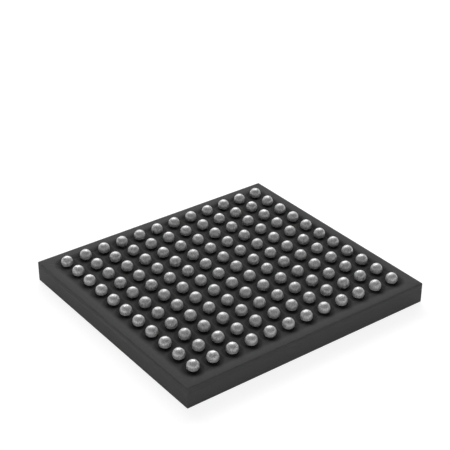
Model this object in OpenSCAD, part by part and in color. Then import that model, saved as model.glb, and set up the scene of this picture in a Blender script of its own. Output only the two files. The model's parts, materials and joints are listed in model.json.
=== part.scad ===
// Ball grid array package, lying ball side up on the marking face of its mold.
// A die, wire bonded and buried in the mold, sits under a two-layer laminate substrate,
// whose vias carry each signal up to a solder ball. The package was sawn out of a strip,
// so mold and substrate share four plain sides.
// Z runs from the marking face (0) to the ball tips, X steps from row A to row M,
// and Y runs along each row.

/* [Package] */
// Length of the package, across the rows of balls
package_length = 13; // [12.9:0.1:14]
// Width of the package, along the rows of balls
package_width = 12; // [11.9:0.1:13]
// Thickness of the mold between its marking face and the substrate
mold_thickness = 0.7; // [0.62:0.01:0.9]

/* [Solder balls] */
// Distance between the centres of neighbouring balls
ball_pitch = 1; // [0.92:0.01:1.05]
// Number of balls in each row
balls_in_row = 11; // [9:1:11]
// Diameter of a soldered-down ball
ball_diameter = 0.55; // [0.48:0.01:0.6]
// Height of a ball above the solder mask
ball_height = 0.4; // [0.34:0.01:0.44]
// How far the foot of a ball laps over the edge of its mask opening
ball_lap = 0.01; // [0.005:0.005:0.02]

/* [Substrate] */
// Thickness of the laminate core
core_thickness = 0.23; // [0.1:0.01:0.4]
// Thickness of the copper on either face of the core
copper_thickness = 0.015; // [0.01:0.001:0.03]
// Thickness of the solder mask where it covers copper
mask_cover = 0.02; // [0.012:0.001:0.03]
// How far the mask covers the rim of a ball pad
pad_rim = 0.04; // [0.02:0.005:0.05]
// Diameter of a via through the core
via_diameter = 0.15; // [0.1:0.01:0.2]
// Diameter of the copper land around a via
via_land_diameter = 0.3; // [0.24:0.01:0.32]
// Width of the copper neck between a ball pad and its via land
neck_width = 0.12; // [0.08:0.01:0.2]

/* [Die] */
// Length of the die along X
die_length = 6.6; // [6:0.1:7]
// Width of the die along Y
die_width = 5.6; // [5:0.1:6]
// Thickness of the die
die_thickness = 0.25; // [0.2:0.01:0.3]
// Thickness of the film that glues the die to the substrate
attach_thickness = 0.025; // [0.02:0.005:0.04]
// How far the film squeezes out past the edge of the die
attach_margin = 0.06; // [0:0.01:0.1]

/* [Wire bonds] */
// Diameter of the gold wire
wire_diameter = 0.025; // [0.018:0.001:0.03]
// Angle at which a wire leaves the die
wire_rise_angle = 35; // [25:1:40]
// Diameter of the squashed bump and stitch at the ends of a wire
bond_diameter = 0.07; // [0.05:0.005:0.08]
// Height of the bump and the stitch
bond_height = 0.03; // [0.028:0.001:0.04]
// Distance from the edge of the die to its line of bumps
bond_inset = 0.09; // [0.06:0.01:0.15]
// Distance from each corner of the die to its first bump
bond_corner = 0.25; // [0.15:0.01:0.5]
// Length of a bond finger on the substrate
finger_length = 0.4; // [0.3:0.01:0.4]
// Width of a bond finger
finger_width = 0.09; // [0.08:0.005:0.12]
// Distance between the centres of neighbouring fingers
finger_pitch = 0.2; // [0.17:0.005:0.205]
// Bare strip that the mask leaves around each line of fingers
window_margin = 0.05; // [0.03:0.005:0.06]
// Copper-free gap between the via lands and the line of fingers
finger_gap = 0.1; // [0.08:0.01:0.12]

/* [Hidden] */
row_letters = ["a", "b", "c", "d", "e", "f", "g", "h", "j", "k", "l", "m"];
sides = ["east", "north", "west", "south"];

row_count = len(row_letters);
wires_in_side = row_count * balls_in_row / len(sides);
lines_inside_fingers = 4;

// Levels of the stack, from the marking face up
mask_thickness = copper_thickness + mask_cover;
die_side_z = mold_thickness;
core_z = die_side_z + mask_thickness;
ball_copper_z = core_z + core_thickness;
face_z = ball_copper_z + mask_thickness;
attach_z = die_side_z - attach_thickness;
active_z = attach_z - die_thickness;
finger_z = core_z - copper_thickness;

// A ball is a sphere cut off where it meets the mask, on a neck that fills the opening
ball_radius = ball_diameter / 2;
ball_rise = ball_height - ball_radius;
foot_radius = sqrt(ball_radius * ball_radius - ball_rise * ball_rise);
opening_radius = foot_radius - ball_lap;
pad_radius = opening_radius + pad_rim;
pad_z = ball_copper_z + copper_thickness;

round_fn = 48;
wire_fn = 24;

mold_color = [0.22, 0.22, 0.23];
mask_color = [0.19, 0.19, 0.2];
core_color = [0.24, 0.24, 0.25];
copper_color = [0.78, 0.47, 0.28];
die_color = [0.42, 0.44, 0.5];
attach_color = [0.62, 0.62, 0.6];
gold_color = [0.9, 0.72, 0.32];
solder_color = [0.72, 0.72, 0.73];

// Place of ball number i, in a line of count balls that is centred on the package
function ball_at(i, count) = (i - (count - 1) / 2) * ball_pitch;

// A via lies half a pitch further out than its ball, both ways
function via_shift(place) = (place >= 0 ? 1 : -1) * ball_pitch / 2;

// Distance from the middle of the package to via line n, where count balls lie across it
function via_line(n, count) = (n - (count % 2) / 2) * ball_pitch;

// The die has four sides, by quarter turn: east and west face along X, the others along Y
function faces_x(turn) = turn % 2 == 0;
function balls_across(turn) = faces_x(turn) ? row_count : balls_in_row;
function die_reach(turn) = (faces_x(turn) ? die_length : die_width) / 2;
function die_edge(turn) = faces_x(turn) ? die_width : die_length;

// Distance from the middle of the package to the near end of a side's fingers
function finger_start(turn) =
    via_line(lines_inside_fingers, balls_across(turn)) + via_land_diameter / 2 + finger_gap;

// Bumps spread over the edge of the die, and the fingers that they fan out to keep their pitch
function bump_pitch(turn) = (die_edge(turn) - 2 * bond_corner) / (wires_in_side - 1);
function along(i, pitch) = (i - (wires_in_side - 1) / 2) * pitch;

module slab(length, width, z_low, z_high) {
    translate([-length / 2, -width / 2, z_low])
        cube([length, width, z_high - z_low]);
}

module package_slab(z_low, z_high) {
    slab(package_length, package_width, z_low, z_high);
}

module disc(radius, z_low, z_high) {
    translate([0, 0, z_low])
        cylinder(r = radius, h = z_high - z_low, $fn = round_fn);
}

// Draws its children at each ball of a row; $outward is the way from that ball to its via
module at_each_ball_of(row) {
    for (i = [0 : balls_in_row - 1]) {
        x = ball_at(row, row_count);
        y = ball_at(i, balls_in_row);
        $outward = [via_shift(x), via_shift(y), 0];
        translate([x, y, 0]) children();
    }
}

module at_each_ball() {
    for (row = [0 : row_count - 1])
        at_each_ball_of(row) children();
}

module at_each_via() {
    at_each_ball() translate($outward) children();
}

module at_each_side() {
    for ($turn = [0 : len(sides) - 1])
        rotate([0, 0, 90 * $turn]) children();
}

// Solder balls

module ball() {
    difference() {
        translate([0, 0, face_z + ball_rise])
            sphere(r = ball_radius, $fn = round_fn);
        slab(ball_diameter, ball_diameter, face_z - ball_radius, face_z);
    }
    disc(opening_radius, pad_z, face_z);
}

module balls_row(row) {
    color(solder_color) at_each_ball_of(row) ball();
}

// Substrate

// A ball pad, the land of its via and the neck that joins them
module dog_bone(outward) {
    disc(pad_radius, ball_copper_z, pad_z);
    rotate([0, 0, atan2(outward.y, outward.x)])
        translate([0, -neck_width / 2, ball_copper_z])
            cube([norm(outward), neck_width, copper_thickness]);
    translate(outward)
        disc(via_land_diameter / 2, ball_copper_z, pad_z);
}

module ball_side_copper() {
    color(copper_color) at_each_ball() dog_bone($outward);
}

module ball_side_mask() {
    color(mask_color) difference() {
        package_slab(ball_copper_z, face_z);
        at_each_ball() dog_bone($outward);
        at_each_ball() disc(opening_radius, pad_z, face_z);
    }
}

module via_barrels() {
    at_each_via() disc(via_diameter / 2, core_z, ball_copper_z);
}

module vias() {
    color(copper_color) via_barrels();
}

module substrate_core() {
    color(core_color) difference() {
        package_slab(core_z, ball_copper_z);
        via_barrels();
    }
}

module via_lands() {
    at_each_via() disc(via_land_diameter / 2, finger_z, core_z);
}

module fingers() {
    at_each_side() for (i = [0 : wires_in_side - 1])
        translate([finger_start($turn), along(i, finger_pitch) - finger_width / 2, finger_z])
            cube([finger_length, finger_width, copper_thickness]);
}

// The strips of substrate around the fingers that the mask leaves bare
module finger_windows() {
    window_length = finger_length + 2 * window_margin;
    window_width = (wires_in_side - 1) * finger_pitch + finger_width + 2 * window_margin;
    at_each_side()
        translate([finger_start($turn) - window_margin, -window_width / 2, die_side_z])
            cube([window_length, window_width, mask_thickness]);
}

module die_side_copper() {
    color(copper_color) {
        via_lands();
        fingers();
    }
}

module die_side_mask() {
    color(mask_color) difference() {
        package_slab(die_side_z, core_z);
        via_lands();
        finger_windows();
    }
}

// Die and wire bonds

module die() {
    color(die_color) slab(die_length, die_width, active_z, attach_z);
}

module die_attach() {
    film_length = die_length + 2 * attach_margin;
    film_width = die_width + 2 * attach_margin;
    color(attach_color) slab(film_length, film_width, attach_z, die_side_z);
}

// A wire that starts at a bump on the origin, facing down, and is stitched at [run, 0, drop].
// It runs in one arc, which hangs below the die and climbs to its finger.
module wire(run, drop) {
    half_angle = wire_rise_angle + atan2(drop, run);
    arc_radius = norm([run, drop]) / (2 * sin(half_angle));
    arc_x = arc_radius * sin(wire_rise_angle);
    arc_z = arc_radius * cos(wire_rise_angle) - bond_height / 2;
    translate([arc_x, 0, arc_z])
        rotate([90, 90 + wire_rise_angle, 0])
            rotate_extrude(angle = 2 * half_angle, $fn = 2 * round_fn)
                translate([arc_radius, 0])
                    circle(d = wire_diameter, $fn = wire_fn);
    disc(bond_diameter / 2, -bond_height, 0);
    translate([run, 0, drop])
        disc(bond_diameter / 2, -bond_height, 0);
}

module side_wires(turn) {
    bump_x = die_reach(turn) - bond_inset;
    reach = finger_start(turn) + finger_length / 2 - bump_x;
    rotate([0, 0, 90 * turn]) for (i = [0 : wires_in_side - 1]) {
        bump_y = along(i, bump_pitch(turn));
        fan = along(i, finger_pitch) - bump_y;
        translate([bump_x, bump_y, active_z])
            rotate([0, 0, atan2(fan, reach)])
                wire(norm([reach, fan]), finger_z - active_z);
    }
}

module wires(turn) {
    color(gold_color) side_wires(turn);
}

// The mold fills everything under the substrate, down to the bare strips between the fingers
module mold_cap() {
    color(mold_color) difference() {
        union() {
            package_slab(0, die_side_z);
            finger_windows();
        }
        fingers();
        die_attach();
        die();
        for (turn = [0 : len(sides) - 1])
            side_wires(turn);
    }
}

mold_cap();
die();
die_attach();
die_side_copper();
die_side_mask();
substrate_core();
vias();
ball_side_copper();
ball_side_mask();
for (turn = [0 : len(sides) - 1])
    wires(turn);
for (row = [0 : row_count - 1])
    balls_row(row);
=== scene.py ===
# Dresses the ball grid array chip: softened body, solder balls, finishes, light and camera.
# Everything is in metres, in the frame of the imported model.
import json
import math
import bpy
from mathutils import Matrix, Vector

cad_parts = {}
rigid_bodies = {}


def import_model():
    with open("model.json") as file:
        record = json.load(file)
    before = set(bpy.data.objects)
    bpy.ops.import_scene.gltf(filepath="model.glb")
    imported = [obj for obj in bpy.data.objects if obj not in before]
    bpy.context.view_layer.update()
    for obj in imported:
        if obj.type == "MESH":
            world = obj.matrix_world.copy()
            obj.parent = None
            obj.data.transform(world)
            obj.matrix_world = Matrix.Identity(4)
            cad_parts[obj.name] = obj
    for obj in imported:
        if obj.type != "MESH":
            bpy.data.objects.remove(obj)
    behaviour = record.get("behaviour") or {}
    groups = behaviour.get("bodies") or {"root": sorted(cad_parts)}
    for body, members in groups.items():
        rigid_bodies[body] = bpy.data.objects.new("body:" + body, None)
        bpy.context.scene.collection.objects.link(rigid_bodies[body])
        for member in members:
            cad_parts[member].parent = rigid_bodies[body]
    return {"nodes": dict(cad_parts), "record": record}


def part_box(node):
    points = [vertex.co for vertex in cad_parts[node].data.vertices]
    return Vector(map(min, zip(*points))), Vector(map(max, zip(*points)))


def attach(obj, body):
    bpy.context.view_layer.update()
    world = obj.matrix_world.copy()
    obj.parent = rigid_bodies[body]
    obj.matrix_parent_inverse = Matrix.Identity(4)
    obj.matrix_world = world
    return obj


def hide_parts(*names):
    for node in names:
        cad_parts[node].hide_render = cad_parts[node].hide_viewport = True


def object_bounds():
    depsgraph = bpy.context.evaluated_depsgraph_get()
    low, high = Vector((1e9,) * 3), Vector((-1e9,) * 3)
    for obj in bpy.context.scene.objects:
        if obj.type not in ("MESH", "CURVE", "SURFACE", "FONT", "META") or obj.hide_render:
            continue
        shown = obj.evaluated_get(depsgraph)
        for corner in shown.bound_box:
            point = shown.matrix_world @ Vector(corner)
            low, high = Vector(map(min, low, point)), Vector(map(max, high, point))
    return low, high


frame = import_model()
cadLow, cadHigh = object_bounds()
millimetre = 0.001
micron = 0.000001
weldDistance = 0.01 * micron
rowNodes = sorted(name for name in frame["nodes"] if name.startswith("balls_row_"))
wireNodes = sorted(name for name in frame["nodes"] if name.startswith("wires_"))
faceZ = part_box("ball_side_mask")[1].z  # the mask face that the balls stand on
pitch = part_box(rowNodes[1])[0].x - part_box(rowNodes[0])[0].x


# Small helpers, for working as one does by hand.

def clearSelection():
    if bpy.context.object and bpy.context.object.mode != "OBJECT":
        bpy.ops.object.mode_set(mode="OBJECT")
    bpy.ops.object.select_all(action="DESELECT")


def pick(piece, *others):
    clearSelection()
    for each in (piece,) + others:
        each.select_set(True)
    bpy.context.view_layer.objects.active = piece


def named(name):  # the object that the last operator made
    piece = bpy.context.object
    piece.name = name
    piece.data.name = name
    return piece


def settle(piece):  # place, turn and scale go into the mesh
    pick(piece)
    bpy.ops.object.transform_apply(location=True, rotation=True, scale=True)


def startEditing(piece):
    pick(piece)
    bpy.ops.object.mode_set(mode="EDIT")
    bpy.ops.mesh.select_all(action="SELECT")


def stopEditing():
    bpy.ops.object.mode_set(mode="OBJECT")


def smoothUpTo(piece, degrees):
    pick(piece)
    bpy.ops.object.shade_smooth_by_angle(angle=math.radians(degrees))


# Shader groups, for the effects that several finishes share.

def addNode(tree, kind, **settings):
    node = tree.nodes.new(kind)
    for key, value in settings.items():
        setattr(node, key, value)
    return node


def mathNode(tree, operation, first, second=0.0):
    node = addNode(tree, "ShaderNodeMath", operation=operation)
    for socket, value in zip(node.inputs, (first, second)):
        if isinstance(value, (int, float)):
            socket.default_value = value
        else:
            tree.links.new(value, socket)
    return node.outputs[0]


def newGroup(name, inputs, outputs):
    tree = bpy.data.node_groups.new(name, "ShaderNodeTree")
    for label, kind, value in inputs:
        socket = tree.interface.new_socket(label, in_out="INPUT", socket_type=kind)
        socket.default_value = value
    for label, kind in outputs:
        tree.interface.new_socket(label, in_out="OUTPUT", socket_type=kind)
    return tree, addNode(tree, "NodeGroupInput"), addNode(tree, "NodeGroupOutput")


def noiseAt(tree, sizeSocket, detail, stretch=None):  # noise whose spots are about that size
    place = addNode(tree, "ShaderNodeTexCoord").outputs["Object"]
    if stretch:
        mapping = addNode(tree, "ShaderNodeMapping")
        mapping.inputs["Scale"].default_value = stretch
        tree.links.new(place, mapping.inputs["Vector"])
        place = mapping.outputs["Vector"]
    noise = addNode(tree, "ShaderNodeTexNoise")
    noise.inputs["Detail"].default_value = detail
    tree.links.new(place, noise.inputs["Vector"])
    tree.links.new(mathNode(tree, "DIVIDE", 1.0, sizeSocket), noise.inputs["Scale"])
    return noise.outputs["Fac"]


def swing(tree, noise, amount):  # noise from 0 to 1 becomes 1 plus or minus the amount
    centred = mathNode(tree, "MULTIPLY", mathNode(tree, "SUBTRACT", noise, 0.5), 2.0)
    return mathNode(tree, "ADD", 1.0, mathNode(tree, "MULTIPLY", centred, amount))


def buildMatteGrain():
    tree, given, result = newGroup("matteGrain", (
        ("Color", "NodeSocketColor", (0.05, 0.05, 0.05, 1)),
        ("Grain Size", "NodeSocketFloat", 40 * micron),
        ("Grain Contrast", "NodeSocketFloat", 0.1),
        ("Cloud Size", "NodeSocketFloat", 2 * millimetre),
        ("Cloud Contrast", "NodeSocketFloat", 0.05),
    ), (
        ("Color", "NodeSocketColor"),
        ("Height", "NodeSocketFloat"),
    ))
    grain = noiseAt(tree, given.outputs["Grain Size"], detail=3)
    cloud = noiseAt(tree, given.outputs["Cloud Size"], detail=2)
    level = mathNode(tree, "MULTIPLY",
                     swing(tree, grain, given.outputs["Grain Contrast"]),
                     swing(tree, cloud, given.outputs["Cloud Contrast"]))
    tint = addNode(tree, "ShaderNodeVectorMath", operation="SCALE")
    tree.links.new(given.outputs["Color"], tint.inputs[0])
    tree.links.new(level, tint.inputs["Scale"])
    tree.links.new(tint.outputs[0], result.inputs["Color"])
    tree.links.new(grain, result.inputs["Height"])
    return tree


def buildSolderSkin():
    tree, given, result = newGroup("solderSkin", (
        ("Color", "NodeSocketColor", (0.6, 0.6, 0.6, 1)),
        ("Spot Size", "NodeSocketFloat", 60 * micron),
        ("Spot Contrast", "NodeSocketFloat", 0.15),
        ("Roughness", "NodeSocketFloat", 0.4),
        ("Roughness Swing", "NodeSocketFloat", 0.2),
    ), (
        ("Color", "NodeSocketColor"),
        ("Roughness", "NodeSocketFloat"),
        ("Height", "NodeSocketFloat"),
    ))
    spots = noiseAt(tree, given.outputs["Spot Size"], detail=3)
    streaks = noiseAt(tree, given.outputs["Spot Size"], detail=2, stretch=(1, 1, 0.3))
    blend = mathNode(tree, "MULTIPLY", mathNode(tree, "ADD", spots, streaks), 0.5)
    tint = addNode(tree, "ShaderNodeVectorMath", operation="SCALE")
    tree.links.new(given.outputs["Color"], tint.inputs[0])
    tree.links.new(swing(tree, blend, given.outputs["Spot Contrast"]), tint.inputs["Scale"])
    rough = mathNode(tree, "MULTIPLY", given.outputs["Roughness"],
                     swing(tree, spots, given.outputs["Roughness Swing"]))
    tree.links.new(tint.outputs[0], result.inputs["Color"])
    tree.links.new(rough, result.inputs["Roughness"])
    tree.links.new(blend, result.inputs["Height"])
    return tree


# Painted shade: a mask for darkening the colour around each ball's foot and over the grid, in
# place of the balls' cast shadows and the shade between them.
def buildPaintedBallShade():  # 1 at the foot of each ball, less over the rest of the grid, 0 outside it
    tree, given, result = newGroup("paintedBallShade", (
        ("Pitch", "NodeSocketFloat", 1.0 * millimetre),
        ("Half Length", "NodeSocketFloat", 5.5 * millimetre),
        ("Half Width", "NodeSocketFloat", 5.0 * millimetre),
        ("Foot", "NodeSocketFloat", 0.38 * millimetre),
        ("Reach", "NodeSocketFloat", 0.3 * millimetre),
        ("Grid Share", "NodeSocketFloat", 0.6),
    ), (
        ("Value", "NodeSocketFloat"),
    ))
    place = addNode(tree, "ShaderNodeSeparateXYZ")
    tree.links.new(addNode(tree, "ShaderNodeTexCoord").outputs["Object"], place.inputs[0])
    halfPitch = mathNode(tree, "MULTIPLY", given.outputs["Pitch"], 0.5)
    fromBall, pastGrid = [], []
    for axis, reach in (("X", "Half Length"), ("Y", "Half Width")):
        fromCorner = mathNode(tree, "ADD", place.outputs[axis], given.outputs[reach])
        inGrid = mathNode(tree, "PINGPONG", fromCorner, halfPitch)
        fromMiddle = mathNode(tree, "ABSOLUTE", place.outputs[axis])
        past = mathNode(tree, "SUBTRACT", fromMiddle, given.outputs[reach])
        fromBall.append(mathNode(tree, "MAXIMUM", inGrid, past))
        pastGrid.append(mathNode(tree, "MAXIMUM", past, 0.0))
    shades = []
    for first, second in (fromBall, pastGrid):
        squares = mathNode(tree, "ADD", mathNode(tree, "MULTIPLY", first, first),
                           mathNode(tree, "MULTIPLY", second, second))
        away = mathNode(tree, "SUBTRACT", mathNode(tree, "SQRT", squares),
                        given.outputs["Foot"])
        fade = addNode(tree, "ShaderNodeMapRange", interpolation_type="SMOOTHSTEP")
        tree.links.new(away, fade.inputs["Value"])
        tree.links.new(given.outputs["Reach"], fade.inputs["From Max"])
        fade.inputs["To Min"].default_value = 1.0
        fade.inputs["To Max"].default_value = 0.0
        shades.append(fade.outputs["Result"])
    overGrid = mathNode(tree, "MULTIPLY", shades[1], given.outputs["Grid Share"])
    tree.links.new(mathNode(tree, "MAXIMUM", shades[0], overGrid), result.inputs["Value"])
    return tree


groups = {
    "matteGrain": buildMatteGrain(),
    "solderSkin": buildSolderSkin(),
    "paintedBallShade": buildPaintedBallShade(),
}


def grey(level):
    return (level, level, level, 1)


# One finish for each material slot: the group's values vary over the surface, and the
# shader's are the same all over it.
finishLook = {
    "mold": dict(
        name="moldEpoxy", group="matteGrain", bump=2 * micron,
        values={"Color": grey(0.11), "Grain Size": 50 * micron, "Grain Contrast": 0.25,
                "Cloud Size": 1.5 * millimetre, "Cloud Contrast": 0.04},
        shader={"Roughness": 0.72, "Specular IOR Level": 0.1}),
    "solder_mask": dict(
        # The solder mask carries painted shade around the balls and over their grid; the first
        # number here sets how dark it is.
        name="solderMask", group="matteGrain", bump=2 * micron, paintedShadeStrength=0.95, sawnLift=0.45,
        values={"Color": grey(0.078), "Grain Size": 70 * micron, "Grain Contrast": 0.2,
                "Cloud Size": 1.2 * millimetre, "Cloud Contrast": 0.06},
        shader={"Roughness": 0.75, "Specular IOR Level": 0.2}),
    "laminate": dict(
        name="sawnLaminate", group="matteGrain", bump=2 * micron,
        values={"Color": grey(0.105), "Grain Size": 50 * micron, "Grain Contrast": 0.25,
                "Cloud Size": 1.5 * millimetre, "Cloud Contrast": 0.04},
        shader={"Roughness": 0.72, "Specular IOR Level": 0.1}),
    "copper": dict(
        name="platedCopper", group="solderSkin", bump=1 * micron,
        values={"Color": (0.72, 0.36, 0.2, 1), "Spot Size": 40 * micron, "Roughness": 0.35},
        shader={"Metallic": 1.0}),
    "gold_wire": dict(
        name="drawnGold", group="solderSkin", bump=0.5 * micron,
        values={"Color": (0.9, 0.68, 0.25, 1), "Spot Size": 20 * micron, "Roughness": 0.25},
        shader={"Metallic": 1.0}),
    "silicon": dict(
        name="polishedSilicon", group="matteGrain", bump=0.2 * micron,
        values={"Color": (0.28, 0.3, 0.35, 1), "Grain Contrast": 0.05, "Cloud Contrast": 0.08},
        shader={"Roughness": 0.15, "Metallic": 0.8}),
    "attach_film": dict(
        name="silverEpoxy", group="matteGrain", bump=1 * micron,
        values={"Color": (0.42, 0.42, 0.4, 1), "Grain Size": 20 * micron, "Grain Contrast": 0.3},
        shader={"Roughness": 0.5, "Metallic": 0.4}),
    "solder": dict(
        name="satinSolder", group="solderSkin", bump=1.2 * micron,
        values={"Color": grey(0.8), "Spot Size": 40 * micron, "Spot Contrast": 1.1,
                "Roughness": 0.4, "Roughness Swing": 0.15},
        shader={"Metallic": 0.3}),
}


def newMaterial(look):
    material = bpy.data.materials.new(look["name"])
    material.use_nodes = True
    tree = material.node_tree
    principled = tree.nodes["Principled BSDF"]
    for label, value in look["shader"].items():
        principled.inputs[label].default_value = value
    group = addNode(tree, "ShaderNodeGroup")
    group.node_tree = groups[look["group"]]
    for label, value in look["values"].items():
        group.inputs[label].default_value = value
    colour = group.outputs["Color"]
    if "paintedShadeStrength" in look:
        colour = paintShadeOnMask(tree, colour, look)
    tree.links.new(colour, principled.inputs["Base Color"])
    if "Roughness" in group.outputs:
        tree.links.new(group.outputs["Roughness"], principled.inputs["Roughness"])
    bump = addNode(tree, "ShaderNodeBump")
    bump.inputs["Distance"].default_value = look["bump"]
    tree.links.new(group.outputs["Height"], bump.inputs["Height"])
    tree.links.new(bump.outputs["Normal"], principled.inputs["Normal"])
    return material


# The mask has painted shade at the foot of each ball and over the grid of balls, standing in for
# the balls' shadows, and is paler where it is sawn.
def paintShadeOnMask(tree, colour, look):
    low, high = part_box(rowNodes[0])  # the outermost row: one ball wide, and as long as the grid
    shade = addNode(tree, "ShaderNodeGroup")
    shade.node_tree = groups["paintedBallShade"]
    shade.inputs["Pitch"].default_value = pitch
    shade.inputs["Half Length"].default_value = -(low.x + high.x) / 2
    shade.inputs["Half Width"].default_value = (high.y - low.y - (high.x - low.x)) / 2
    # Painted shade: the mask colour is darkened at the balls' feet and over the grid.
    paintedShade = mathNode(tree, "MULTIPLY", shade.outputs["Value"], -look["paintedShadeStrength"])
    normal = addNode(tree, "ShaderNodeSeparateXYZ")
    tree.links.new(addNode(tree, "ShaderNodeTexCoord").outputs["Normal"], normal.inputs[0])
    upright = mathNode(tree, "SUBTRACT", 1.0, mathNode(tree, "ABSOLUTE", normal.outputs["Z"]))
    lifted = mathNode(tree, "MULTIPLY", upright, look["sawnLift"])
    level = mathNode(tree, "MULTIPLY", mathNode(tree, "ADD", 1.0, paintedShade),
                     mathNode(tree, "ADD", 1.0, lifted))
    shaded = addNode(tree, "ShaderNodeVectorMath", operation="SCALE")
    tree.links.new(colour, shaded.inputs[0])
    tree.links.new(level, shaded.inputs["Scale"])
    return shaded.outputs[0]


finishes = {slot: newMaterial(look) for slot, look in finishLook.items()}
slotOf = {row["node"]: row["material_slot"] for row in frame["record"]["subparts"]}


def finish(piece, slot):
    if not piece.data.materials:
        piece.data.materials.append(None)
    for materialSlot in piece.material_slots:
        materialSlot.material = finishes[slot]


for node, piece in frame["nodes"].items():
    finish(piece, slotOf[node])
print("finishes:", len(finishes))


# The body: mold, substrate and its two masks, trimmed to one softened outline.
bodyLook = dict(
    nodes=("mold_cap", "die_side_mask", "substrate_core", "ball_side_mask"),
    edgeRadius=0.045 * millimetre,
    edgeSegments=3,
    smoothAngle=30,
    wireMargin=0.1 * millimetre,
    keptInside=0.7,  # share of the faces kept around the wires, where nobody sees them
)


def weldedCopy(node, name):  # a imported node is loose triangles, so its copy is welded
    pick(frame["nodes"][node])
    bpy.ops.object.duplicate(linked=False)
    piece = named(name)
    startEditing(piece)
    bpy.ops.mesh.remove_doubles(threshold=weldDistance)
    stopEditing()
    return piece


def bodyOutline(look):
    low = Vector(cadLow)
    high = Vector((cadHigh[0], cadHigh[1], faceZ))
    clearSelection()
    bpy.ops.mesh.primitive_cube_add(size=1, location=(low + high) / 2, scale=high - low)
    outline = named("body_outline")
    settle(outline)
    startEditing(outline)
    bpy.ops.mesh.bevel(offset=look["edgeRadius"], segments=look["edgeSegments"], affect="EDGES")
    stopEditing()
    return outline


def trimTo(piece, outline):  # keeps only what lies inside the outline
    pick(piece)
    bpy.ops.object.modifier_add(type="BOOLEAN")
    trim = piece.modifiers[-1]
    trim.operation = "INTERSECT"
    trim.solver = "MANIFOLD"
    trim.object = outline
    bpy.ops.object.modifier_apply(modifier=trim.name)


def selectBetween(piece, low, high):  # what lies inside a box, from corner to corner
    mesh = piece.data
    for vertex in mesh.vertices:
        vertex.select = all(low[i] < vertex.co[i] < high[i] for i in range(3))
    for part in list(mesh.edges) + list(mesh.polygons):
        part.select = all(mesh.vertices[v].select for v in part.vertices)


def thinInside(mold, look):  # fewer faces in the hollows that hold the wires
    margin = Vector([look["wireMargin"]] * 3)
    boxes = [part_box(node) for node in wireNodes]
    low = Vector([min(box[0][i] for box in boxes) for i in range(3)]) - margin
    high = Vector([max(box[1][i] for box in boxes) for i in range(3)]) + margin
    pick(mold)
    selectBetween(mold, low, high)
    bpy.ops.object.mode_set(mode="EDIT")
    bpy.ops.mesh.decimate(ratio=look["keptInside"])
    stopEditing()


def makeBody(look):
    outline = bodyOutline(look)
    for node in look["nodes"]:
        piece = weldedCopy(node, node + "_shell")
        trimTo(piece, outline)
        if node == "mold_cap":
            thinInside(piece, look)
        smoothUpTo(piece, look["smoothAngle"])
        finish(piece, slotOf[node])
        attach(piece, "root")
        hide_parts(node)
    bpy.data.objects.remove(outline)
    print("body:", len(look["nodes"]), "pieces")


makeBody(bodyLook)


# The solder balls: one is modelled, and each row is made of copies of it.
ballLook = dict(
    diameter=0.55 * millimetre,
    lap=0.01 * millimetre,  # how far the ball reaches over the rim of its mask opening
    segments=24,
    rings=12,
    smoothAngle=40,
)


def makeBall(look, padZ, topZ):
    radius = look["diameter"] / 2
    clearSelection()
    bpy.ops.mesh.primitive_uv_sphere_add(
        segments=look["segments"], ring_count=look["rings"], radius=radius,
        location=(0, 0, topZ - radius))
    ball = named("solder_ball")
    settle(ball)
    startEditing(ball)
    bpy.ops.mesh.bisect(plane_co=(0, 0, faceZ), plane_no=(0, 0, 1), use_fill=True,
                        clear_inner=True, threshold=weldDistance)
    bpy.ops.mesh.inset(thickness=look["lap"])
    bpy.ops.mesh.extrude_region_move(TRANSFORM_OT_translate={"value": (0, 0, padZ - faceZ)})
    stopEditing()
    smoothUpTo(ball, look["smoothAngle"])
    return ball


def makeRow(node, ball, look):
    low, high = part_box(node)
    rowX = (low.x + high.x) / 2
    count = round((high.y - low.y - look["diameter"]) / pitch) + 1  # its box ends at ball sides
    copies = []
    for i in range(count):
        pick(ball)
        bpy.ops.object.duplicate(linked=False)
        each = named(node + "_ball")
        each.location = (rowX, (i - (count - 1) / 2) * pitch, 0)
        copies.append(each)
    pick(*copies)
    bpy.ops.object.join()
    row = named(node.replace("balls_row", "solder_row"))
    settle(row)
    finish(row, slotOf[node])
    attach(row, "root")
    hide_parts(node)


def makeBalls(look):
    low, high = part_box(rowNodes[0])
    ball = makeBall(look, low.z, high.z)
    for node in rowNodes:
        makeRow(node, ball, look)
    bpy.data.objects.remove(ball)
    print("balls:", len(rowNodes), "rows")


makeBalls(ballLook)


# A pale floor that is white to the eye and to reflections, and keeps the shadow.
floorLook = dict(
    radius=1.0,
    sides=96,
    rimHeight=0.25,
    albedo=0.8,
    nearGlow=0.86,  # low enough by the part to leave room for its shadow
    farGlow=1.0,
    nearRadius=0.03,
    farRadius=0.2,
    shadowShare=0.35,
)


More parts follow.
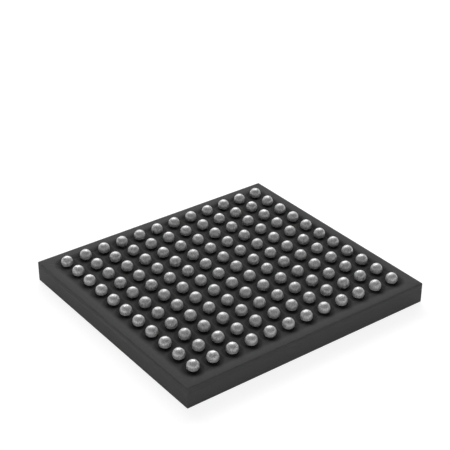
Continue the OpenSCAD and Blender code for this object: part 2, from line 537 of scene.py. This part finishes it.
def floorMaterial(look):
    material = bpy.data.materials.new("paleFloor")
    material.use_nodes = True
    tree = material.node_tree
    tree.nodes.remove(tree.nodes["Principled BSDF"])
    plain = addNode(tree, "ShaderNodeBsdfDiffuse")
    plain.inputs["Color"].default_value = grey(look["albedo"])
    seen = addNode(tree, "ShaderNodeBsdfDiffuse")
    seen.inputs["Color"].default_value = grey(look["shadowShare"])
    glow = addNode(tree, "ShaderNodeEmission")
    away = addNode(tree, "ShaderNodeVectorMath", operation="LENGTH")
    tree.links.new(addNode(tree, "ShaderNodeTexCoord").outputs["Object"], away.inputs[0])
    fade = addNode(tree, "ShaderNodeMapRange", interpolation_type="SMOOTHSTEP")
    tree.links.new(away.outputs["Value"], fade.inputs["Value"])
    for label, key in (("From Min", "nearRadius"), ("From Max", "farRadius"),
                       ("To Min", "nearGlow"), ("To Max", "farGlow")):
        fade.inputs[label].default_value = look[key]
    tree.links.new(fade.outputs["Result"], glow.inputs["Strength"])
    white = addNode(tree, "ShaderNodeAddShader")
    tree.links.new(seen.outputs[0], white.inputs[0])
    tree.links.new(glow.outputs[0], white.inputs[1])
    path = addNode(tree, "ShaderNodeLightPath")
    lookedAt = mathNode(tree, "MAXIMUM", path.outputs["Is Camera Ray"],
                        mathNode(tree, "MAXIMUM", path.outputs["Is Glossy Ray"],
                                 path.outputs["Is Transmission Ray"]))
    mix = addNode(tree, "ShaderNodeMixShader")
    tree.links.new(lookedAt, mix.inputs[0])
    tree.links.new(plain.outputs[0], mix.inputs[1])
    tree.links.new(white.outputs[0], mix.inputs[2])
    tree.links.new(mix.outputs[0], tree.nodes["Material Output"].inputs["Surface"])
    return material


def makeFloor(look):
    clearSelection()
    bpy.ops.mesh.primitive_circle_add(
        vertices=look["sides"], radius=look["radius"], fill_type="NGON")
    floor = named("floor")
    startEditing(floor)
    bpy.ops.mesh.extrude_region_move(
        TRANSFORM_OT_translate={"value": (0, 0, look["rimHeight"])})
    bpy.ops.mesh.delete(type="ONLY_FACE")  # the lid, so the rim stands open
    stopEditing()
    floor.data.materials.append(floorMaterial(look))


makeFloor(floorLook)
faceCentre = Vector((0, 0, faceZ))

cameraLook = dict(
    azimuth=-36.75,
    elevation=30.03,
    distance=56.676 * millimetre,
    lens=99.256,
    sensorWidth=36,
    clipStart=1 * millimetre,
    clipEnd=10,
    lookRight=-0.115 * millimetre,
    lookUp=2.159 * millimetre,
)

# A turn is counted from the camera's own azimuth, so 180 lights the part from behind.
lightLook = dict(
    worldLevel=0.07,
    distance=0.2,
    lamps={
        "backLight": dict(
            turn=187, elevation=40, width=0.22, height=0.07, radiance=6.7, glossy=True),
        "topLight": dict(
            turn=180, elevation=70, width=0.1, height=0.1, radiance=0.8, glossy=True),
        "frontWall": dict(  # a fill that isn't seen in the solder
            turn=-5, elevation=4, width=0.6, height=0.03, radiance=3.4, glossy=False),
    },
)


def wayTo(azimuth, elevation):  # azimuth 0 stands in front of the part, at -Y
    a, e = math.radians(azimuth), math.radians(elevation)
    return Vector((math.sin(a) * math.cos(e), -math.cos(a) * math.cos(e), math.sin(e)))


def aim(thing, way):  # turns a light or the camera to look back along that way
    thing.rotation_euler = way.to_track_quat("Z", "Y").to_euler()


def addLamp(name, look, distance):
    way = wayTo(cameraLook["azimuth"] + look["turn"], look["elevation"])
    clearSelection()
    bpy.ops.object.light_add(type="AREA", location=faceCentre + way * distance)
    lamp = named(name)
    lamp.data.shape = "RECTANGLE"
    lamp.data.size = look["width"]
    lamp.data.size_y = look["height"]
    lamp.data.energy = look["radiance"] * math.pi * look["width"] * look["height"]
    lamp.visible_glossy = look["glossy"]
    aim(lamp, way)


def lightStudio(look):
    world = bpy.data.worlds.new("studio")
    world.use_nodes = True
    background = world.node_tree.nodes["Background"]
    background.inputs["Color"].default_value = grey(1.0)
    background.inputs["Strength"].default_value = look["worldLevel"]
    bpy.context.scene.world = world
    for name, lampLook in look["lamps"].items():
        addLamp(name, lampLook, look["distance"])


def placeCamera(look):
    way = wayTo(look["azimuth"], look["elevation"])
    right = Vector((0, 0, 1)).cross(way).normalized()
    up = way.cross(right)
    target = faceCentre + right * look["lookRight"] + up * look["lookUp"]
    clearSelection()
    bpy.ops.object.camera_add(location=target + way * look["distance"])
    camera = named("camera")
    camera.data.lens = look["lens"]
    camera.data.sensor_width = look["sensorWidth"]
    camera.data.clip_start = look["clipStart"]
    camera.data.clip_end = look["clipEnd"]
    aim(camera, way)
    bpy.context.scene.camera = camera


lightStudio(lightLook)
placeCamera(cameraLook)
bpy.context.scene.view_settings.view_transform = "Standard"
print("stage set")
